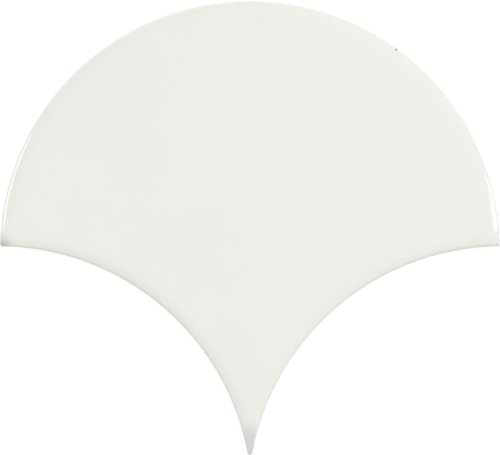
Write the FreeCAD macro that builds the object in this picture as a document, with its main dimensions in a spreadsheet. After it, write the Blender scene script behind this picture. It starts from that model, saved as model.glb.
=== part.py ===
"""Fish scale tile: one dust-pressed, glazed ceramic piece lying on its back, glazed face up.

The outline is six tangent arcs. A round head is followed by two hollow flanks, each of them the head
of a laid neighbour moved out by the joint, and the flanks meet in a small blunt tip. The glazed face
is flat, and towards the rim it falls away in a shallow cushion that rolls over a tight arris into the
upright wall. Towards the tip the fall is longer. The wall's foot is relieved, and the back carries the
press punch's grid of shallow keys inside a plain land, which the tile beds on.

Frame: millimetres, origin at the centre of the round head on the bedding plane, +Y towards the
head's crown, +Z out of the glazed face.
"""

import FreeCAD, Part
import math
import os

import Sketcher

NODE = "fish_scale_tile"

# The driving dimensions, in millimetres and degrees.
SIZES = [
    ("scale_radius", 60.0, "radius of the round head, half the tile's width"),
    ("joint", 0.8, "gap between laid tiles"),
    ("row_pitch", 59.75, "distance between laid rows"),
    ("tip_radius", 0.64, "radius of the blunt tip"),
    ("corner_radius", 0.6, "radius of the two upright corners"),
    ("thickness", 9.0, "bedding plane to glazed face"),
    ("cushion_width", 3.4, "width of the fall at the rim, seen from above"),
    ("cushion_radius", 20.0, "radius of the fall's section"),
    ("tip_fall_gap", 1.14, "from where the flanks' falls meet to where the longer fall to the tip starts"),
    ("tip_fall_radius", 25.0, "radius of the longer fall's section"),
    ("arris_radius", 0.7, "radius that rolls the face over into the wall"),
    ("arris_break", 8.0, "angle at which the roll meets the wall"),
    ("foot_height", 2.5, "height of the relief at the wall's foot"),
    ("foot_inset", 0.35, "depth of the relief at the wall's foot"),
    ("back_land", 5.3, "width of the plain land round the back"),
    ("key_width", 7.5, "side of a key at its mouth"),
    ("key_corner", 1.0, "radius of a key's corners at its mouth"),
    ("rib_width", 2.5, "width of the ribs between the keys"),
    ("key_depth", 0.7, "depth of the keys"),
    ("key_draft", 25.0, "slope of a key's sides from upright"),
]

# Values that follow from the driving dimensions.
FLANK_RADIUS = "(Sizes.scale_radius + Sizes.joint)"
FLANK_OFFSET = "(Sizes.scale_radius + Sizes.joint / 2)"
TIP_RISE = f"sqrt(({FLANK_RADIUS} + Sizes.tip_radius) ^ 2 - {FLANK_OFFSET} ^ 2)"
TIP_REACH = f"(Sizes.row_pitch - {TIP_RISE} + Sizes.tip_radius)"
FALLS_MEET_RISE = f"sqrt(({FLANK_RADIUS} + Sizes.cushion_width) ^ 2 - {FLANK_OFFSET} ^ 2)"
TIP_FALL_WIDTH = f"({FALLS_MEET_RISE} - {TIP_RISE} + Sizes.tip_radius - Sizes.tip_fall_gap)"
KEY_PITCH = "(Sizes.key_width + Sizes.rib_width)"
KEYS_EACH_SIDE = f"ceil((Sizes.scale_radius - Sizes.back_land) / {KEY_PITCH})"

# The point numbers that sketch constraints go by.
START, END, CENTRE = range(1, 4)
ORIGIN = (-1, 1)


def make_sheet(doc):
    """The spreadsheet of driving dimensions: name, value and what it is."""
    sheet = doc.addObject("Spreadsheet::Sheet", "Sizes")
    for row, (name, value, note) in enumerate(SIZES, 1):
        sheet.set(f"A{row}", name)
        sheet.set(f"B{row}", str(value))
        sheet.set(f"C{row}", note)
        sheet.setAlias(f"B{row}", name)
    doc.recompute()
    return sheet


def origin_feature(body, role):
    """One of the body's own origin planes or axes."""
    return next(feature for feature in body.Origin.OriginFeatures if feature.Role == role)


def new_sketch(body, name, role):
    """An empty sketch on one of the body's origin planes."""
    sketch = body.newObject("Sketcher::SketchObject", name)
    sketch.AttachmentSupport = (origin_feature(body, role), [""])
    sketch.MapMode = "FlatFace"
    return sketch


def add_arc(sketch, centre, radius, start, end):
    """An arc drawn counter-clockwise from one angle to the other, in radians."""
    circle = Part.Circle(FreeCAD.Vector(*centre, 0), FreeCAD.Vector(0, 0, 1), radius)
    return sketch.addGeometry(Part.ArcOfCircle(circle, start, end))


def add_line(sketch, first, second, construction=False):
    """A straight line between two points."""
    line = Part.LineSegment(FreeCAD.Vector(*first, 0), FreeCAD.Vector(*second, 0))
    return sketch.addGeometry(line, construction)


def constrain(sketch, kind, *where):
    """A constraint without a size."""
    sketch.addConstraint(Sketcher.Constraint(kind, *where))


def dimension(sketch, expression, kind, *where):
    """A constraint whose size follows the sheet."""
    value = sketch.evalExpression(expression)
    index = sketch.addConstraint(Sketcher.Constraint(kind, *where, value))
    sketch.setExpression(f"Constraints[{index}]", expression)


def heading(start, end):
    """The angle at which one point sees another."""
    return math.atan2(end[1] - start[1], end[0] - start[0]) % math.tau


def circle_meeting(radius, flank_centre, flank_radius):
    """Where a circle about the origin meets a flank's circle, on the side of the tile's corner."""
    distance = math.hypot(*flank_centre)
    along = (radius ** 2 - flank_radius ** 2 + distance ** 2) / (2 * distance)
    across = math.sqrt(radius ** 2 - along ** 2)
    unit = (flank_centre[0] / distance, flank_centre[1] / distance)
    return (unit[0] * along - unit[1] * across, unit[1] * along + unit[0] * across)


def place_scale(sketch, head, right_flank, left_flank, head_radius, flank_radius):
    """Centre and size the three main arcs of the tile's outline, or of an inset of it."""
    constrain(sketch, "Coincident", head, CENTRE, *ORIGIN)
    dimension(sketch, head_radius, "Radius", head)
    for flank, side in ((right_flank, 1), (left_flank, -1)):
        dimension(sketch, flank_radius, "Radius", flank)
        dimension(sketch, f"{side} * {FLANK_OFFSET}", "DistanceX", *ORIGIN, flank, CENTRE)
        dimension(sketch, "-Sizes.row_pitch", "DistanceY", *ORIGIN, flank, CENTRE)


def draw_outline(sketch, sheet):
    """The tile's outline: head, corners, flanks and tip, each tangent to the next."""
    head_radius = sheet.scale_radius
    flank_radius = sketch.evalExpression(FLANK_RADIUS)
    right = (sketch.evalExpression(FLANK_OFFSET), -sheet.row_pitch)
    left = (-right[0], right[1])
    centre = (0.0, 0.0)
    right_corner = circle_meeting(
        head_radius - sheet.corner_radius, right, flank_radius + sheet.corner_radius
    )
    left_corner = (-right_corner[0], right_corner[1])
    tip = (0.0, right[1] + sketch.evalExpression(TIP_RISE))

    head_arc = add_arc(
        sketch, centre, head_radius, heading(centre, right_corner), heading(centre, left_corner)
    )
    left_corner_arc = add_arc(
        sketch, left_corner, sheet.corner_radius, heading(centre, left_corner), heading(left_corner, left)
    )
    left_arc = add_arc(sketch, left, flank_radius, heading(left, tip), heading(left, left_corner))
    tip_arc = add_arc(sketch, tip, sheet.tip_radius, heading(tip, left), heading(tip, right))
    right_arc = add_arc(sketch, right, flank_radius, heading(right, right_corner), heading(right, tip))
    right_corner_arc = add_arc(
        sketch,
        right_corner,
        sheet.corner_radius,
        heading(right_corner, right),
        heading(centre, right_corner) + math.tau,
    )

    constrain(sketch, "Tangent", head_arc, END, left_corner_arc, START)
    constrain(sketch, "Tangent", left_corner_arc, END, left_arc, END)
    constrain(sketch, "Tangent", left_arc, START, tip_arc, START)
    constrain(sketch, "Tangent", tip_arc, END, right_arc, END)
    constrain(sketch, "Tangent", right_arc, START, right_corner_arc, START)
    constrain(sketch, "Tangent", right_corner_arc, END, head_arc, START)
    place_scale(sketch, head_arc, right_arc, left_arc, "Sizes.scale_radius", FLANK_RADIUS)
    dimension(sketch, "Sizes.tip_radius", "Radius", tip_arc)
    for corner_arc in (left_corner_arc, right_corner_arc):
        dimension(sketch, "Sizes.corner_radius", "Radius", corner_arc)


def draw_key_field(sketch, sheet):
    """The part of the back that carries keys: the outline moved in by the plain land."""
    head_radius = sheet.scale_radius - sheet.back_land
    flank_radius = sketch.evalExpression(FLANK_RADIUS) + sheet.back_land
    right = (sketch.evalExpression(FLANK_OFFSET), -sheet.row_pitch)
    left = (-right[0], right[1])
    centre = (0.0, 0.0)
    right_corner = circle_meeting(head_radius, right, flank_radius)
    left_corner = (-right_corner[0], right_corner[1])
    tip = (0.0, right[1] + math.sqrt(flank_radius ** 2 - right[0] ** 2))

    head_arc = add_arc(
        sketch, centre, head_radius, heading(centre, right_corner), heading(centre, left_corner)
    )
    left_arc = add_arc(sketch, left, flank_radius, heading(left, tip), heading(left, left_corner))
    right_arc = add_arc(sketch, right, flank_radius, heading(right, right_corner), heading(right, tip))

    constrain(sketch, "Coincident", head_arc, END, left_arc, END)
    constrain(sketch, "Coincident", left_arc, START, right_arc, END)
    constrain(sketch, "Coincident", right_arc, START, head_arc, START)
    place_scale(
        sketch,
        head_arc,
        right_arc,
        left_arc,
        "Sizes.scale_radius - Sizes.back_land",
        f"{FLANK_RADIUS} + Sizes.back_land",
    )


def draw_rim_section(sketch, sheet, fall_width, fall_radius):
    """What the face's fall to the rim and the arris leave off, in section.

    The wall is at zero and the tile is on the negative side. The cut runs on past the wall and the
    face by the fall's own width.
    """
    top = sheet.thickness
    width = sketch.evalExpression(fall_width)
    radius = sketch.evalExpression(fall_radius)
    meets_wall = math.radians(sheet.arris_break)
    arris_inset = sheet.arris_radius * math.cos(meets_wall)
    cushion = (-width, top - radius)
    reach = radius - sheet.arris_radius
    arris = (-arris_inset, cushion[1] + math.sqrt(reach ** 2 - (width - arris_inset) ** 2))
    meets_cushion = heading(cushion, arris)
    wall_top = (0.0, arris[1] + sheet.arris_radius * math.sin(meets_wall))
    outer_low = (width, wall_top[1])
    outer_high = (width, top + width)
    inner_high = (-width, top + width)

    cushion_arc = add_arc(sketch, cushion, radius, meets_cushion, math.pi / 2)
    arris_arc = add_arc(sketch, arris, sheet.arris_radius, meets_wall, meets_cushion)
    shelf = add_line(sketch, wall_top, outer_low)
    outside = add_line(sketch, outer_low, outer_high)
    above = add_line(sketch, outer_high, inner_high)
    inside = add_line(sketch, inner_high, (-width, top))

    constrain(sketch, "Tangent", arris_arc, END, cushion_arc, START)
    constrain(sketch, "Coincident", arris_arc, START, shelf, START)
    constrain(sketch, "Coincident", shelf, END, outside, START)
    constrain(sketch, "Coincident", outside, END, above, START)
    constrain(sketch, "Coincident", above, END, inside, START)
    constrain(sketch, "Coincident", inside, END, cushion_arc, END)
    for line in (shelf, above):
        constrain(sketch, "Horizontal", line)
    for line in (outside, inside):
        constrain(sketch, "Vertical", line)
    constrain(sketch, "Vertical", cushion_arc, CENTRE, cushion_arc, END)
    constrain(sketch, "Vertical", *ORIGIN, arris_arc, START)
    dimension(sketch, fall_radius, "Radius", cushion_arc)
    dimension(sketch, "Sizes.arris_radius", "Radius", arris_arc)
    dimension(
        sketch,
        "-Sizes.arris_radius * cos(Sizes.arris_break)",
        "DistanceX",
        *ORIGIN,
        arris_arc,
        CENTRE,
    )
    dimension(sketch, f"-{fall_width}", "DistanceX", *ORIGIN, cushion_arc, END)
    dimension(sketch, "Sizes.thickness", "DistanceY", *ORIGIN, cushion_arc, END)
    dimension(sketch, fall_width, "DistanceX", *ORIGIN, outside, START)
    dimension(sketch, fall_width, "DistanceY", cushion_arc, END, above, END)


def draw_turning_axis(sketch, sheet, distance):
    """The upright axis that a rim's section turns about, at a distance from the wall."""
    place = sketch.evalExpression(distance)
    axis = add_line(sketch, (place, 0.0), (place, sheet.thickness), True)
    constrain(sketch, "Vertical", axis)
    constrain(sketch, "Horizontal", *ORIGIN, axis, START)
    dimension(sketch, distance, "DistanceX", *ORIGIN, axis, START)
    dimension(sketch, "Sizes.thickness", "DistanceY", axis, START, axis, END)


def groove_rim(body, sheet, name, wall_x, wall_y, axis_distance):
    """Roll the face over along one arc of the outline, turning the rim's section about its centre."""
    sketch = new_sketch(body, f"{name}_section", "XZ_Plane")
    sketch.setExpression("AttachmentOffset.Base.x", wall_x)
    sketch.setExpression("AttachmentOffset.Base.z", f"-({wall_y})")
    draw_rim_section(sketch, sheet, "Sizes.cushion_width", "Sizes.cushion_radius")
    draw_turning_axis(sketch, sheet, axis_distance)
    groove = body.newObject("PartDesign::Groove", name)
    groove.Profile = sketch
    groove.ReferenceAxis = (sketch, ["Axis0"])
    groove.Angle = 360
    return groove


def roll_tip(body, sheet):
    """Let the face fall away to the tip and roll over there, straight across."""
    sketch = new_sketch(body, "tip_rim_section", "YZ_Plane")
    half_turn = FreeCAD.Rotation(FreeCAD.Vector(0, 1, 0), 180)
    sketch.AttachmentOffset = FreeCAD.Placement(FreeCAD.Vector(), half_turn)
    sketch.setExpression("AttachmentOffset.Base.x", f"-{TIP_REACH}")
    draw_rim_section(sketch, sheet, TIP_FALL_WIDTH, "Sizes.tip_fall_radius")
    pocket = body.newObject("PartDesign::Pocket", "tip_rim")
    pocket.Profile = sketch
    pocket.Type = "ThroughAll"
    pocket.Midplane = True
    return pocket


def relieve_foot(body, base):
    """Ease the wall's foot all round the back."""
    back = min(base.Shape.Faces, key=lambda face: face.CenterOfMass.z)
    foot_edges = [
        f"Edge{number}"
        for number, edge in enumerate(base.Shape.Edges, 1)
        if any(edge.isSame(side) for side in back.Edges)
    ]
    chamfer = body.newObject("PartDesign::Chamfer", "foot_relief")
    chamfer.Base = (base, foot_edges)
    chamfer.ChamferType = "Two distances"
    chamfer.setExpression("Size", "Sizes.foot_height")
    chamfer.setExpression("Size2", "Sizes.foot_inset")
    return chamfer


def draw_lug_mouth(sketch, sheet):
    """The mouth of the grid's first key: a square with rounded corners, centred at its place."""
    place = f"-({KEYS_EACH_SIDE} - 0.5) * {KEY_PITCH}"
    centre = sketch.evalExpression(place)
    half = sheet.key_width / 2
    straight = half - sheet.key_corner
    turns = [(1, 0), (0, 1), (-1, 0), (0, -1)]
    sides = []
    corners = []
    for out_x, out_y in turns:
        middle = (centre + half * out_x, centre + half * out_y)
        first = (middle[0] + straight * out_y, middle[1] - straight * out_x)
        last = (middle[0] - straight * out_y, middle[1] + straight * out_x)
        sides.append(add_line(sketch, first, last))
        start = math.atan2(out_y, out_x)
        corner = (last[0] - sheet.key_corner * out_x, last[1] - sheet.key_corner * out_y)
        corners.append(add_arc(sketch, corner, sheet.key_corner, start, start + math.pi / 2))
    for number, (side, corner) in enumerate(zip(sides, corners)):
        constrain(sketch, "Tangent", side, END, corner, START)
        constrain(sketch, "Tangent", corner, END, sides[(number + 1) % 4], START)
        dimension(sketch, "Sizes.key_corner", "Radius", corner)
    right, top, left, bottom = sides
    for side in (right, left):
        constrain(sketch, "Vertical", side)
    for side in (top, bottom):
        constrain(sketch, "Horizontal", side)
    dimension(sketch, f"{place} + Sizes.key_width / 2", "DistanceX", *ORIGIN, right, START)
    dimension(sketch, f"{place} + Sizes.key_width / 2", "DistanceY", *ORIGIN, top, START)
    dimension(sketch, f"{place} - Sizes.key_width / 2", "DistanceX", *ORIGIN, left, START)
    dimension(sketch, f"{place} - Sizes.key_width / 2", "DistanceY", *ORIGIN, bottom, START)


def make_key_lugs(doc, sheet):
    """The punch's lugs on their full grid, with ribs crossing at the origin."""
    body = doc.addObject("PartDesign::Body", "key_lugs")
    body.AllowCompound = True
    sketch = new_sketch(body, "lug_mouth", "XY_Plane")
    draw_lug_mouth(sketch, sheet)
    lug = body.newObject("PartDesign::Pad", "lug")
    lug.Profile = sketch
    lug.setExpression("Length", "Sizes.key_depth")
    lug.setExpression("TaperAngle", "-Sizes.key_draft")
    doc.recompute()
    grid = body.newObject("PartDesign::MultiTransform", "lug_grid")
    grid.Originals = [lug]
    runs = []
    for name, axis in (("lug_row", "H_Axis"), ("lug_column", "V_Axis")):
        run = body.newObject("PartDesign::LinearPattern", name)
        run.Direction = (sketch, [axis])
        run.Mode = "Spacing"
        run.setExpression("Offset", KEY_PITCH)
        run.setExpression("Occurrences", f"2 * {KEYS_EACH_SIDE}")
        runs.append(run)
    grid.Transformations = runs
    body.Tip = grid
    doc.recompute()
    return body


def make_back_punch(doc, sheet):
    """The keys' whole shape: the lugs that lie inside the plain land."""
    lugs = make_key_lugs(doc, sheet)
    body = doc.addObject("PartDesign::Body", "back_punch")
    body.AllowCompound = True
    sketch = new_sketch(body, "key_field", "XY_Plane")
    draw_key_field(sketch, sheet)
    field = body.newObject("PartDesign::Pad", "key_field_pad")
    field.Profile = sketch
    field.setExpression("Length", "Sizes.key_depth")
    doc.recompute()
    keys = body.newObject("PartDesign::Boolean", "keys")
    keys.Type = "Common"
    keys.setObjects([lugs])
    body.Tip = keys
    doc.recompute()
    return body


def make_tile(doc, sheet):
    """The pressed tile."""
    body = doc.addObject("PartDesign::Body", NODE)
    body.Label = NODE
    body.AllowCompound = False
    outline = new_sketch(body, "outline", "XY_Plane")
    draw_outline(outline, sheet)
    blank = body.newObject("PartDesign::Pad", "blank")
    blank.Profile = outline
    blank.setExpression("Length", "Sizes.thickness")
    doc.recompute()

    foot = relieve_foot(body, blank)
    doc.recompute()
    tip_rim = roll_tip(body, sheet)
    doc.recompute()
    head_rim = groove_rim(body, sheet, "head_rim", "Sizes.scale_radius", "0", "-Sizes.scale_radius")
    doc.recompute()
    flank_rims = []
    for name, side in (("right_rim", 1), ("left_rim", -1)):
        far_wall = f"{side} * {FLANK_OFFSET} - {FLANK_RADIUS}"
        flank_rims.append(groove_rim(body, sheet, name, far_wall, "-Sizes.row_pitch", FLANK_RADIUS))
        doc.recompute()

    pressed = body.newObject("PartDesign::Boolean", "pressed_back")
    pressed.Type = "Cut"
    pressed.setObjects([make_back_punch(doc, sheet)])
    body.Tip = pressed
    doc.recompute()
    check_cuts([blank, foot, tip_rim, head_rim, *flank_rims, pressed])
    return body


def check_cuts(stages):
    """Stop if a feature that should take clay away took none."""
    for before, after in zip(stages, stages[1:]):
        if not after.Shape.Volume < before.Shape.Volume:
            raise RuntimeError(f"{after.Label} cuts nothing")


def check_document(doc, tile):
    """Stop before anything is written if a feature failed or the tile is not one sound solid."""
    for item in doc.Objects:
        if "Invalid" in item.State or "Error" in item.State:
            raise RuntimeError(f"{item.Label} failed: {item.State}")
    shape = tile.Shape
    if shape.isNull() or not shape.isValid() or len(shape.Solids) != 1:
        raise RuntimeError(f"{tile.Label} is not one valid solid")


def main():
    doc = FreeCAD.newDocument(NODE)
    sheet = make_sheet(doc)
    tile = make_tile(doc, sheet)
    check_document(doc, tile)
    os.makedirs("parts", exist_ok=True)
    tile.Shape.exportStep(f"parts/{tile.Label}.step")


main()
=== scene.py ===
"""Looks of the fish scale tile: the glazed and bisque surfaces, the studio light and the camera."""

import math

import bpy
import numpy as np
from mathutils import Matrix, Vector, geometry, noise


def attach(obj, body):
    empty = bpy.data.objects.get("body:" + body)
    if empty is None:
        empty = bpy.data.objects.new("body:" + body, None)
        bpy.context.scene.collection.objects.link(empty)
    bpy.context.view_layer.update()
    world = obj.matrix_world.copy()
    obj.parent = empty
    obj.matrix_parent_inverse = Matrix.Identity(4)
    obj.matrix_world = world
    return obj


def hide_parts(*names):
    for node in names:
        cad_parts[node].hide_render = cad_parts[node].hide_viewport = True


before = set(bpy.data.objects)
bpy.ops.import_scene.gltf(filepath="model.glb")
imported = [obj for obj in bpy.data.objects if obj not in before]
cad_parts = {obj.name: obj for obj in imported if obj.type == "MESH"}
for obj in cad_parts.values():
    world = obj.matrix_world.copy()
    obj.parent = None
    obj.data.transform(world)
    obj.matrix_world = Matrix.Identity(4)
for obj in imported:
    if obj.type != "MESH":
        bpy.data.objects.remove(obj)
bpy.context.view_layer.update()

MM = 0.001
NODE = "fish_scale_tile"

# The mesh's material numbers.
GLAZE = 0
BISQUE = 1

# The tile's dimensions in millimetres, as in its CAD model.
HEAD_RADIUS = 60.0
JOINT = 0.8
ROW_PITCH = 59.75
TIP_RADIUS = 0.64
CORNER_RADIUS = 0.6
THICKNESS = 9.0
CUSHION_WIDTH = 3.4
CUSHION_RADIUS = 20.0
TIP_FALL_GAP = 1.14
TIP_FALL_RADIUS = 25.0
ARRIS_RADIUS = 0.7
ARRIS_BREAK = math.radians(8.0)
FOOT_HEIGHT = 2.5
FOOT_INSET = 0.35
BACK_LAND = 5.3
KEY_WIDTH = 7.5
RIB_WIDTH = 2.5
KEY_DEPTH = 0.7
KEY_DRAFT = math.radians(25.0)

FLANK_RADIUS = HEAD_RADIUS + JOINT
FLANK_OFFSET = HEAD_RADIUS + JOINT / 2
FLANKS = np.array([[-FLANK_OFFSET, -ROW_PITCH], [FLANK_OFFSET, -ROW_PITCH]])

TIP_RISE = math.sqrt((FLANK_RADIUS + TIP_RADIUS) ** 2 - FLANK_OFFSET ** 2)
TIP_REACH = ROW_PITCH - TIP_RISE + TIP_RADIUS
FALLS_MEET_RISE = math.sqrt((FLANK_RADIUS + CUSHION_WIDTH) ** 2 - FLANK_OFFSET ** 2)
TIP_FALL_WIDTH = FALLS_MEET_RISE - TIP_RISE + TIP_RADIUS - TIP_FALL_GAP
ARRIS_INSET = ARRIS_RADIUS * math.cos(ARRIS_BREAK)

# The fine mesh is drawn this far inside the true outline, so that it stays within the CAD model's box.
EDGE_INSET = 0.025

# The face's extra fall to either corner, straight across it: its length and its section's radius.
CORNER_FALL_WIDTH = 3.2
CORNER_FALL_RADIUS = 17.0

# How much rounder the corners and the tip become per millimetre in from the edge.
CORNER_GROWTH = 0.8
TIP_GROWTH = 0.4

# The fired face's ripples: the pattern's scale per millimetre, its layer and its mean depth.
RIPPLES = [(0.055, 3.1, 0.012), (0.17, 8.7, 0.003)]

# The glaze's lower edge on the wall: its level, how far it wanders from that, how fast its runs lengthen
# with their pattern, and the pattern's value at which they start.
GLAZE_LINE = 4.5
BROAD_WANDER = 0.7
FINE_WANDER = 0.22
RUN_LENGTH = 1.6
RUN_START = 0.25

# The wall in section: the step in from the glaze to the bare body, then pairs of height and inset. The
# lip's heights are counted from the glaze's lower edge, and the foot's from the bedding plane.
GLAZE_STEP = 0.16
GLAZE_LIP = [(0.35, 0.02), (0.18, 0.0), (0.07, 0.02), (0.0, 0.09), (-0.04, GLAZE_STEP)]
FOOT_SECTION = [
    (FOOT_HEIGHT / 2, 0.26),
    (0.14, FOOT_INSET + 0.01),
    (0.05, FOOT_INSET + 0.03),
    (0.012, FOOT_INSET + 0.08),
    (0.0, FOOT_INSET + 0.16),
]

# How far the glazed wall draws in on its way down to the lip, and how far below the glaze's edge the first
# ring of bare body lies.
WALL_HOLLOW = 0.03
BODY_BELOW = 0.3

# How far the keys' corners are rounded off, and the least half width of a key's floor. A key at the edge
# of the grid that would have less is left out.
KEY_ROUND = 0.9
LEAST_FLOOR = 0.1

# How finely the mesh is divided: points along each arc of the outline, rings over the rim and onto the
# flat, the spacing over the face, and points round a key.
HEAD_POINTS = 470
FLANK_POINTS = 200
TIP_POINTS = 22
CORNER_POINTS = 14
ARRIS_RINGS = 10
CUSHION_RINGS = 10
FLAT_RINGS = [0.5, 1.3]
FACE_SPACING = 1.9
KEY_POINTS = 40

# The light tent's soft glows, two overhead and one in front: azimuth, elevation and spread in degrees,
# and strength.
GLOWS = [(5, 73, 32, 1.37), (206, 73, 17, 0.5), (312, 43, 27, 1.2)]

# The cosine of the angle within which a glow has its full strength.
GLOW_CORE = 0.993

# How far the panels stand from the tile, and half the table top's width, in metres.
PANEL_DISTANCE = 0.8
TABLE_HALF = 3.0


def heading(start, end):
    return math.atan2(end[1] - start[1], end[0] - start[0])


def corner_centre(from_head, from_flank):
    """The point at the right corner that lies at two distances from the head's and the flank's centres."""
    distance = np.linalg.norm(FLANKS[1])
    along = (from_head ** 2 - from_flank ** 2 + distance ** 2) / (2 * distance)
    across = math.sqrt(from_head ** 2 - along ** 2)
    direction = FLANKS[1] / distance
    return direction * along + np.array([-direction[1], direction[0]]) * across


def arc(centre, radius, start, end, count):
    """Points along an arc without its last one, and the directions out of its centre."""
    angles = start + (end - start) * np.arange(count) / count
    out = np.stack([np.cos(angles), np.sin(angles)], axis=1)
    return centre + out * radius, out


def outline(depth):
    """The tile's outline drawn in by a depth, counter-clockwise from the right corner, and its normals.

    Further in, the corners and the tip are rounder, because the glaze fills the lines where the
    rim's falls meet.
    """
    inset = EDGE_INSET + depth
    head_radius = HEAD_RADIUS - inset
    flank_radius = FLANK_RADIUS + inset
    corner_radius = CORNER_RADIUS - EDGE_INSET + CORNER_GROWTH * depth
    tip_radius = TIP_RADIUS - EDGE_INSET + TIP_GROWTH * depth
    right = corner_centre(head_radius - corner_radius, flank_radius + corner_radius)
    left = right * [-1, 1]
    bottom = np.array([0.0, math.sqrt((flank_radius + tip_radius) ** 2 - FLANK_OFFSET ** 2) - ROW_PITCH])
    head_start = heading((0, 0), right)
    head_end = math.pi - head_start
    tip_start = math.tau + heading(bottom, FLANKS[0])
    tip_end = math.tau + heading(bottom, FLANKS[1])
    left_end = math.tau + heading(left, FLANKS[0])
    left_flank = [heading(FLANKS[0], left), heading(FLANKS[0], bottom)]
    right_flank = [heading(FLANKS[1], bottom), heading(FLANKS[1], right)]
    arcs = [
        arc(np.zeros(2), head_radius, head_start, head_end, HEAD_POINTS),
        arc(left, corner_radius, head_end, left_end, CORNER_POINTS),
        arc(FLANKS[0], flank_radius, *left_flank, FLANK_POINTS),
        arc(bottom, tip_radius, tip_start, tip_end, TIP_POINTS),
        arc(FLANKS[1], flank_radius, *right_flank, FLANK_POINTS),
        arc(right, corner_radius, heading(right, FLANKS[1]), head_start, CORNER_POINTS),
    ]
    sides = [1, 1, -1, 1, -1, 1]
    points = np.concatenate([points for points, _ in arcs])
    normals = np.concatenate([side * out for side, (_, out) in zip(sides, arcs)])
    return points, normals


def rim_depths():
    """Depths of the rings over the arris and the cushion, and a little way onto the flat."""
    arris_end = math.acos((CUSHION_WIDTH - ARRIS_INSET) / (CUSHION_RADIUS - ARRIS_RADIUS))
    arris = ARRIS_INSET - ARRIS_RADIUS * np.cos(np.linspace(ARRIS_BREAK, arris_end, ARRIS_RINGS))
    cushion = np.linspace(arris[-1], CUSHION_WIDTH, CUSHION_RINGS + 1)[1:]
    flat = [CUSHION_WIDTH + onward for onward in FLAT_RINGS]
    return [*arris, *cushion, *flat]


def fall_drop(inset, width, radius):
    """How far the face has dropped at an inset from a wall, over a fall and the arris after it."""
    inset = np.clip(inset, 0, width)
    run = width - ARRIS_INSET
    reach = radius - ARRIS_RADIUS
    arris_drop = radius - math.sqrt(reach ** 2 - run ** 2)
    meeting = ARRIS_INSET - ARRIS_RADIUS * run / reach
    beside = np.clip(ARRIS_INSET - inset, -ARRIS_RADIUS, ARRIS_RADIUS)
    over_arris = arris_drop - np.sqrt(ARRIS_RADIUS ** 2 - beside ** 2)
    over_fall = radius - np.sqrt(radius ** 2 - (width - inset) ** 2)
    return np.where(inset < meeting, over_arris, over_fall)


def corner_drop(points):
    """How far the face has dropped towards the nearer corner."""
    outward = np.array([1.0, -1.0]) / math.sqrt(2)
    corner = corner_centre(HEAD_RADIUS - CORNER_RADIUS, FLANK_RADIUS + CORNER_RADIUS)
    folded = np.stack([np.abs(points[:, 0]), points[:, 1]], axis=1)
    inset = (corner - folded) @ outward + CORNER_RADIUS
    run = np.clip(CORNER_FALL_WIDTH - inset, 0, None)
    return CORNER_FALL_RADIUS - np.sqrt(CORNER_FALL_RADIUS ** 2 - run ** 2)


def pattern(x, y, scale, layer):
    """A soft random value between minus one and one, the same on every run."""
    return noise.noise(Vector((x * scale, y * scale, layer)))


def ripple(x, y):
    """How far the fired glaze dips below a true plane."""
    return sum(depth * (1 + pattern(x, y, scale, layer)) for scale, layer, depth in RIPPLES)


def face_heights(points, depth):
    """Heights of the glazed face at points that lie a depth in from the edge.

    The rim's fall and the tip's are blended softly, and the ripples fade out towards the edge.
    """
    rim_drop = fall_drop(depth, CUSHION_WIDTH, CUSHION_RADIUS)
    tip_drop = fall_drop(points[:, 1] + TIP_REACH, TIP_FALL_WIDTH, TIP_FALL_RADIUS)
    fade = min(1.0, depth / CUSHION_WIDTH) ** 2
    dips = np.array([ripple(x, y) for x, y in points])
    return THICKNESS - np.cbrt(rim_drop ** 3 + tip_drop ** 3) - corner_drop(points) - fade * dips


def rim_height(depth):
    """Height of the plain rim at a depth in from the edge."""
    return THICKNESS - float(fall_drop(depth, CUSHION_WIDTH, CUSHION_RADIUS))


def glaze_edge(points):
    """Height of the glaze's lower edge round the wall, with a few longer runs."""
    heights = []
    for x, y in points:
        broad = pattern(x, y, scale=0.045, layer=1.3)
        fine = pattern(x, y, scale=0.21, layer=5.9)
        run = max(0.0, pattern(x, y, scale=0.13, layer=9.4) - RUN_START)
        heights.append(GLAZE_LINE + BROAD_WANDER * broad + FINE_WANDER * fine - RUN_LENGTH * run)
    return np.array(heights)


class Skin:
    """Collects the tile's vertices and faces, in millimetres, with a material number per face."""

    def __init__(self):
        self.vertices = []
        self.faces = []
        self.materials = []

    def add_points(self, points, heights):
        first = len(self.vertices)
        heights = np.broadcast_to(heights, len(points))
        self.vertices.extend((x, y, z) for (x, y), z in zip(points, heights))
        return list(range(first, len(self.vertices)))

    def bridge(self, outer, inner, material):
        """A band of quads between two rings with the same count."""
        count = len(outer)
        for i in range(count):
            j = (i + 1) % count
            self.faces.append((outer[i], outer[j], inner[j], inner[i]))
            self.materials.append(material)

    def fill(self, border, loops, loose, material, upward):
        """Triangles over everything inside the border ring, keeping to the loops and loose points."""
        numbers = list(border)
        edges = [(i, (i + 1) % len(border)) for i in range(len(border))]
        for loop in loops:
            first = len(numbers)
            numbers.extend(loop)
            edges.extend((first + i, first + (i + 1) % len(loop)) for i in range(len(loop)))
        numbers.extend(loose)
        flat = [Vector(self.vertices[number][:2]) for number in numbers]
        inside_only = 1
        tolerance = 1e-7
        result = geometry.delaunay_2d_cdt(flat, edges, [], inside_only, tolerance)
        triangles, origins = result[2:4]
        for triangle in triangles:
            corners = [numbers[origins[corner][0]] for corner in triangle]
            self.faces.append(corners if upward else corners[::-1])
            self.materials.append(material)


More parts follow.
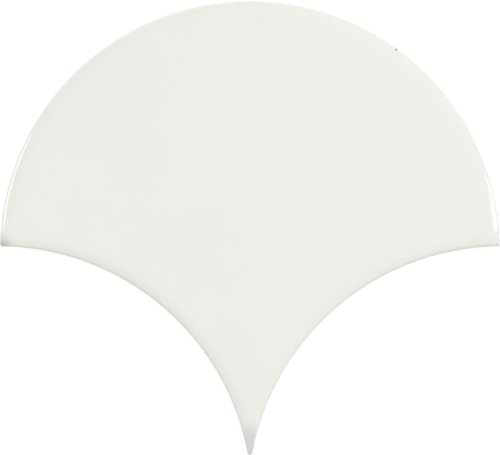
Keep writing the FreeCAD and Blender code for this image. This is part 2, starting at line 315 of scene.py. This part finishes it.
def inside(points, loop, margin):
    """Which points lie inside a loop and at least the margin away from its corners."""
    ahead = np.roll(loop, -1, axis=0)
    crossings = np.zeros(len(points), dtype=int)
    for (x1, y1), (x2, y2) in zip(loop, ahead):
        spans = (points[:, 1] >= y1) != (points[:, 1] >= y2)
        rise = y2 - y1 if y2 != y1 else 1.0
        crossings += spans & (points[:, 0] < x1 + (points[:, 1] - y1) * (x2 - x1) / rise)
    far = np.full(len(points), True)
    for corner in loop:
        far &= np.linalg.norm(points - corner, axis=1) > margin
    return (crossings % 2 == 1) & far


def add_face(skin):
    """The glazed face: rings over the arris and cushion, then the flat."""
    rings = []
    for depth in rim_depths():
        border, _ = outline(depth)
        rings.append(skin.add_points(border, face_heights(border, depth)))
    for outer, inner in zip(rings, rings[1:]):
        skin.bridge(outer, inner, GLAZE)
    across = np.arange(-HEAD_RADIUS, HEAD_RADIUS, FACE_SPACING)
    up = np.arange(-HEAD_RADIUS, HEAD_RADIUS, FACE_SPACING * math.sqrt(3) / 2)
    grid = np.array([(x + (row % 2) * FACE_SPACING / 2, y) for row, y in enumerate(up) for x in across])
    margin = FACE_SPACING * 0.6
    grid = grid[inside(grid, border, margin)]
    loose = skin.add_points(grid, face_heights(grid, CUSHION_WIDTH))
    skin.fill(rings[-1], [], loose, GLAZE, True)
    return rings[0]


def add_wall(skin, wall_top):
    """The wall: glaze down to its wavy lower edge, the bare body below, and the relieved foot."""
    edge, normals = outline(0.0)
    top = np.array([skin.vertices[number][2] for number in wall_top])
    line = glaze_edge(edge)
    lip_top = line + GLAZE_LIP[0][0]
    rows = [(top + (lip_top - top) * share, WALL_HOLLOW * share) for share in (0.35, 0.7)]
    rows += [(line + rise, inset) for rise, inset in GLAZE_LIP]
    glazed_rows = len(rows)
    rows += [(line - BODY_BELOW, GLAZE_STEP), (FOOT_HEIGHT, GLAZE_STEP), *FOOT_SECTION]
    ring = wall_top
    for number, (heights, inset) in enumerate(rows):
        lower = skin.add_points(edge - normals * inset, heights)
        skin.bridge(lower, ring, GLAZE if number < glazed_rows else BISQUE)
        ring = lower
    return ring


def soft_min(first, second):
    """The smaller of two depths, with the corner where they are equal rounded off."""
    gap = np.minimum(np.abs(first - second), KEY_ROUND)
    return np.minimum(first, second) + KEY_ROUND - np.sqrt(KEY_ROUND ** 2 + (KEY_ROUND - gap) ** 2)


def key_depth(points, centre):
    """How far inside a key's mouth points lie, with rounded corners."""
    sides = KEY_WIDTH / 2 - np.abs(points - centre)
    depth = soft_min(sides[:, 0], sides[:, 1])
    for flank in FLANKS:
        depth = soft_min(depth, np.linalg.norm(points - flank, axis=1) - FLANK_RADIUS - BACK_LAND)
    head = HEAD_RADIUS - BACK_LAND - np.linalg.norm(points, axis=1)
    return soft_min(depth, head)


def key_seed(centre):
    """The point deepest inside a key, and how deep it is."""
    tries = 41
    steps = np.linspace(-KEY_WIDTH / 2, KEY_WIDTH / 2, tries)
    points = centre + np.stack(np.meshgrid(steps, steps), axis=-1).reshape(-1, 2)
    depths = key_depth(points, centre)
    return points[depths.argmax()], depths.max()


def key_ring(centre, seed, level):
    """The closed line round a key's seed at one depth, found along rays by halving."""
    angles = math.tau * np.arange(KEY_POINTS) / KEY_POINTS
    rays = np.stack([np.cos(angles), np.sin(angles)], axis=1)
    near = np.zeros(KEY_POINTS)
    far = np.full(KEY_POINTS, KEY_WIDTH * 1.5)
    halvings = 40
    for _ in range(halvings):
        middle = (near + far) / 2
        within = key_depth(seed + rays * middle[:, None], centre) > level
        near = np.where(within, middle, near)
        far = np.where(within, far, middle)
    return seed + rays * near[:, None]


def key_section():
    """A key's sloped side in section, rounded at both ends: depths inside its mouth, and heights."""
    slope = KEY_DEPTH * math.tan(KEY_DRAFT)
    mouth = [(-0.08, 0.0), (0.02, 0.035), (0.1, 0.15)]
    floor = [(slope * 0.75, 0.55), (slope + 0.02, 0.67), (slope + 0.16, KEY_DEPTH)]
    return mouth + floor


def add_back(skin, foot_ring):
    """The back: the plain land and ribs at the bedding plane, and the keys pressed into it."""
    pitch = KEY_WIDTH + RIB_WIDTH
    section = key_section()
    least_depth = section[-1][0] + LEAST_FLOOR
    half = math.ceil((HEAD_RADIUS - BACK_LAND) / pitch)
    loops = []
    for column in range(-half, half):
        for row in range(-half, half):
            centre = np.array([column + 0.5, row + 0.5]) * pitch
            seed, depth = key_seed(centre)
            if depth < least_depth:
                continue
            for level, height in section:
                loops.append(skin.add_points(key_ring(centre, seed, level), height))
    skin.fill(foot_ring, loops, [], BISQUE, False)


def build_tile():
    skin = Skin()
    wall_top = add_face(skin)
    foot_ring = add_wall(skin, wall_top)
    add_back(skin, foot_ring)
    mesh = bpy.data.meshes.new("glazed_tile")
    mesh.from_pydata([Vector(vertex) * MM for vertex in skin.vertices], [], skin.faces)
    mesh.polygons.foreach_set("material_index", skin.materials)
    mesh.polygons.foreach_set("use_smooth", [True] * len(mesh.polygons))
    mesh.update()
    tile = bpy.data.objects.new("glazed_tile", mesh)
    bpy.context.scene.collection.objects.link(tile)
    return tile


def srgb(red, green, blue):
    """A colour written in screen values, 0 to 255, as linear light."""
    linear = []
    for value in (red, green, blue):
        share = value / 255
        linear.append(share / 12.92 if share <= 0.04045 else ((share + 0.055) / 1.055) ** 2.4)
    return (*linear, 1.0)


def grey(level):
    """A grey as linear light."""
    return (level, level, level, 1.0)


def toward(azimuth, elevation):
    """The direction at two angles in degrees."""
    turn, rise = math.radians(azimuth), math.radians(elevation)
    return Vector((math.cos(turn) * math.cos(rise), math.sin(turn) * math.cos(rise), math.sin(rise)))


def rim_place(angle, depth):
    """A point on the rim of the head, at an angle in degrees and a depth in from the edge, in metres."""
    out = toward(angle, 0) * (HEAD_RADIUS - depth)
    return (out + Vector((0, 0, rim_height(depth)))) * MM


def new_material(name):
    material = bpy.data.materials.new(name)
    material.use_nodes = True
    tree = material.node_tree
    return material, tree, tree.nodes["Principled BSDF"]


def add_node(tree, kind, **settings):
    node = tree.nodes.new(kind)
    for name, value in settings.items():
        setattr(node, name, value)
    return node


def add_ramp(tree, source, start, end, first, last):
    """A smooth change from the first value, where the source is at the start, to the last at the end."""
    ramp = add_node(tree, "ShaderNodeMapRange", interpolation_type="SMOOTHSTEP")
    for name, value in (("From Min", start), ("From Max", end), ("To Min", first), ("To Max", last)):
        ramp.inputs[name].default_value = value
    tree.links.new(source, ramp.inputs["Value"])
    return ramp.outputs["Result"]


def combine(tree, operation, first, second):
    """Two values joined by a sum, a maximum or the like."""
    node = add_node(tree, "ShaderNodeMath", operation=operation)
    tree.links.new(first, node.inputs[0])
    tree.links.new(second, node.inputs[1])
    return node.outputs[0]


def own_place(tree):
    """Places in the tile's own coordinates, in metres."""
    return add_node(tree, "ShaderNodeTexCoord").outputs["Object"]


def add_noise(tree, scale, detail):
    """A soft random pattern between nought and one, its scale counted per metre."""
    clouds = add_node(tree, "ShaderNodeTexNoise")
    clouds.inputs["Scale"].default_value = scale
    clouds.inputs["Detail"].default_value = detail
    tree.links.new(own_place(tree), clouds.inputs["Vector"])
    return clouds.outputs["Fac"]


def add_pores(tree, spacing, radius):
    """One inside scattered round pores and nought between them, both sizes in millimetres."""
    cells = add_node(tree, "ShaderNodeTexVoronoi")
    cells.inputs["Scale"].default_value = 1 / (spacing * MM)
    tree.links.new(own_place(tree), cells.inputs["Vector"])
    reach = radius / spacing
    return add_ramp(tree, cells.outputs["Distance"], start=reach * 0.4, end=reach, first=1.0, last=0.0)


def add_spot(tree, centre, inner, outer):
    """One at a place and nought away from it, fading between two radii in millimetres."""
    distance = add_node(tree, "ShaderNodeVectorMath", operation="DISTANCE")
    distance.inputs[1].default_value = centre
    tree.links.new(own_place(tree), distance.inputs[0])
    away = distance.outputs["Value"]
    return add_ramp(tree, away, start=inner * MM, end=outer * MM, first=1.0, last=0.0)


def add_colour_mix(tree, share, first, second):
    """A colour between two others, of which the first may come from another mix."""
    mix = add_node(tree, "ShaderNodeMix", data_type="RGBA")
    tree.links.new(share, mix.inputs["Factor"])
    if isinstance(first, bpy.types.NodeSocket):
        tree.links.new(first, mix.inputs["A"])
    else:
        mix.inputs["A"].default_value = first
    mix.inputs["B"].default_value = second
    return mix.outputs["Result"]


def add_bump(tree, shader, heights, strength):
    """Fine relief from a pattern of heights up to a tenth of a millimetre."""
    bump = add_node(tree, "ShaderNodeBump")
    bump.inputs["Strength"].default_value = strength
    bump.inputs["Distance"].default_value = 0.1 * MM
    tree.links.new(heights, bump.inputs["Height"])
    tree.links.new(bump.outputs["Normal"], shader.inputs["Normal"])


def glaze_material():
    """White gloss glaze: a faint cloud in its tone, painted shade at the left corner and tip, one dark
    speck.
    """
    material, tree, shader = new_material("white_glaze")
    cloud = add_noise(tree, scale=38.0, detail=3.0)
    colour = add_colour_mix(tree, cloud, srgb(236.6, 234.2, 229.4), srgb(239.6, 238.2, 232.4))
    # Painted shade: the face is darkened towards grey at the left corner, where the corner's fall lies in
    # shade.
    painted_corner_shade = add_spot(tree, rim_place(angle=179.0, depth=0.2), inner=0.3, outer=3.6)
    colour = add_colour_mix(tree, painted_corner_shade, colour, srgb(205, 203, 198))
    # Painted shade: the face is darkened a little round the tip, where its fall turns away from the light.
    above_tip = Vector((0, -TIP_REACH, THICKNESS)) * MM
    painted_tip_shade = add_spot(tree, above_tip, inner=4.0, outer=9.0)
    colour = add_colour_mix(tree, painted_tip_shade, colour, srgb(231, 229, 225))
    speck = add_spot(tree, rim_place(angle=54.0, depth=0.32), inner=0.12, outer=0.46)
    colour = add_colour_mix(tree, speck, colour, srgb(160, 154, 144))
    tree.links.new(colour, shader.inputs["Base Color"])
    shader.inputs["Roughness"].default_value = 0.06
    shader.inputs["IOR"].default_value = 1.58
    add_bump(tree, shader, add_noise(tree, scale=420.0, detail=2.0), strength=0.05)
    return material


def bisque_material():
    """The bare pressed body: matt and off-white, finely grained and pored, faintly stained in the kiln."""
    material, tree, shader = new_material("bare_body")
    grain = add_noise(tree, scale=1600.0, detail=4.0)
    colour = add_colour_mix(tree, grain, srgb(214, 204, 188), srgb(232, 225, 212))
    patches = add_noise(tree, scale=55.0, detail=3.0)
    stains = add_ramp(tree, patches, start=0.5, end=0.75, first=0.0, last=0.4)
    colour = add_colour_mix(tree, stains, colour, srgb(203, 188, 166))
    pores = add_pores(tree, spacing=1.3, radius=0.13)
    colour = add_colour_mix(tree, pores, colour, srgb(168, 154, 134))
    tree.links.new(colour, shader.inputs["Base Color"])
    shader.inputs["Roughness"].default_value = 0.9
    add_bump(tree, shader, combine(tree, "SUBTRACT", grain, pores), strength=0.35)
    return material


def nearness(tree, look, direction):
    """The cosine of the angle between the looking direction and a given one."""
    node = add_node(tree, "ShaderNodeVectorMath", operation="DOT_PRODUCT")
    node.inputs[1].default_value = direction
    tree.links.new(look, node.inputs[0])
    return node.outputs["Value"]


def make_world():
    """A white light tent: walls that darken away from the light, soft glows and a white horizon."""
    world = bpy.data.worlds.new("studio")
    bpy.context.scene.world = world
    world.use_nodes = True
    tree = world.node_tree
    tree.nodes.clear()
    look = add_node(tree, "ShaderNodeTexCoord").outputs["Generated"]
    rearward = nearness(tree, look, toward(azimuth=98, elevation=0))
    light = add_ramp(tree, rearward, start=-0.75, end=0.75, first=0.02, last=0.89)
    for azimuth, elevation, spread, strength in GLOWS:
        near = nearness(tree, look, toward(azimuth, elevation))
        edge = math.cos(math.radians(spread))
        glow = add_ramp(tree, near, start=edge, end=GLOW_CORE, first=0.0, last=strength)
        light = combine(tree, "ADD", light, glow)
    upward = nearness(tree, look, toward(azimuth=0, elevation=90))
    horizon = add_ramp(tree, upward, start=0.105, end=0.233, first=1.24, last=0.0)
    light = combine(tree, "MAXIMUM", light, horizon)
    backdrop = add_node(tree, "ShaderNodeBackground")
    backdrop.inputs["Color"].default_value = grey(1.0)
    output = add_node(tree, "ShaderNodeOutputWorld")
    tree.links.new(light, backdrop.inputs["Strength"])
    tree.links.new(backdrop.outputs[0], output.inputs["Surface"])


def background_rays(tree):
    """One for rays that show the background itself: seen directly, mirrored or through glass."""
    path = add_node(tree, "ShaderNodeLightPath")
    seen = combine(tree, "MAXIMUM", path.outputs["Is Camera Ray"], path.outputs["Is Glossy Ray"])
    return combine(tree, "MAXIMUM", seen, path.outputs["Is Transmission Ray"])


def table_material():
    """White where it shows as the background, and a plain pale matt to the rays that light the tile.

    The white is a glow over a dark matt, which takes the shadow.
    """
    material = bpy.data.materials.new("table_white")
    material.use_nodes = True
    tree = material.node_tree
    tree.nodes.clear()
    plain = add_node(tree, "ShaderNodeBsdfDiffuse")
    plain.inputs["Color"].default_value = grey(0.92)
    shaded = add_node(tree, "ShaderNodeBsdfDiffuse")
    shaded.inputs["Color"].default_value = grey(0.22)
    glow = add_node(tree, "ShaderNodeEmission")
    glow.inputs["Strength"].default_value = 0.86
    both = add_node(tree, "ShaderNodeAddShader")
    mix = add_node(tree, "ShaderNodeMixShader")
    output = add_node(tree, "ShaderNodeOutputMaterial")
    tree.links.new(shaded.outputs[0], both.inputs[0])
    tree.links.new(glow.outputs[0], both.inputs[1])
    tree.links.new(background_rays(tree), mix.inputs[0])
    tree.links.new(plain.outputs[0], mix.inputs[1])
    tree.links.new(both.outputs[0], mix.inputs[2])
    tree.links.new(mix.outputs[0], output.inputs["Surface"])
    return material


def make_floor():
    """A pale table top that reads as white and keeps a faint shadow."""
    mesh = bpy.data.meshes.new("table_top")
    corners = [(x * TABLE_HALF, y * TABLE_HALF, 0) for x, y in ((-1, -1), (1, -1), (1, 1), (-1, 1))]
    mesh.from_pydata(corners, [], [(0, 1, 2, 3)])
    mesh.materials.append(table_material())
    floor = bpy.data.objects.new("table_top", mesh)
    bpy.context.scene.collection.objects.link(floor)


def softbox(name, azimuth, elevation, width, height, radiance):
    """A rectangular soft light that faces the head's centre, with its size in metres and its radiance."""
    data = bpy.data.lights.new(name, "AREA")
    data.shape = "RECTANGLE"
    data.size = width
    data.size_y = height
    data.energy = radiance * math.pi * width * height
    lamp = bpy.data.objects.new(name, data)
    direction = toward(azimuth, elevation)
    lamp.location = direction * PANEL_DISTANCE
    lamp.rotation_mode = "QUATERNION"
    lamp.rotation_quaternion = direction.to_track_quat("Z", "Y")
    bpy.context.scene.collection.objects.link(lamp)


def make_lights():
    """A panel for the bright line at either side of the head, and a small one for the right corner."""
    softbox("left_panel", azimuth=165.8, elevation=54, width=0.17, height=0.255, radiance=5.5)
    softbox("right_panel", azimuth=9, elevation=50, width=0.11, height=0.37, radiance=4.6)
    softbox("right_corner_panel", azimuth=5, elevation=65.3, width=0.055, height=0.064, radiance=2.4)


def make_camera():
    """A long lens straight above, framed so that the tile fills the picture as in the photograph."""
    lens = 135.0
    sensor = 36.0
    pixels_wide = 500.0
    pixels_per_mm = 4.168
    picture_middle = 5.61
    data = bpy.data.cameras.new("overhead")
    data.lens = lens
    data.sensor_width = sensor
    camera = bpy.data.objects.new("overhead", data)
    distance = pixels_wide * lens / (sensor * pixels_per_mm)
    camera.location = (0.0, picture_middle * MM, (rim_height(0.0) + distance) * MM)
    bpy.context.scene.collection.objects.link(camera)
    bpy.context.scene.camera = camera


tile = build_tile()
tile.data.materials.append(glaze_material())
tile.data.materials.append(bisque_material())
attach(tile, "root")
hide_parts(NODE)

make_world()
make_floor()
make_lights()
make_camera()
bpy.context.scene.view_settings.view_transform = "Standard"
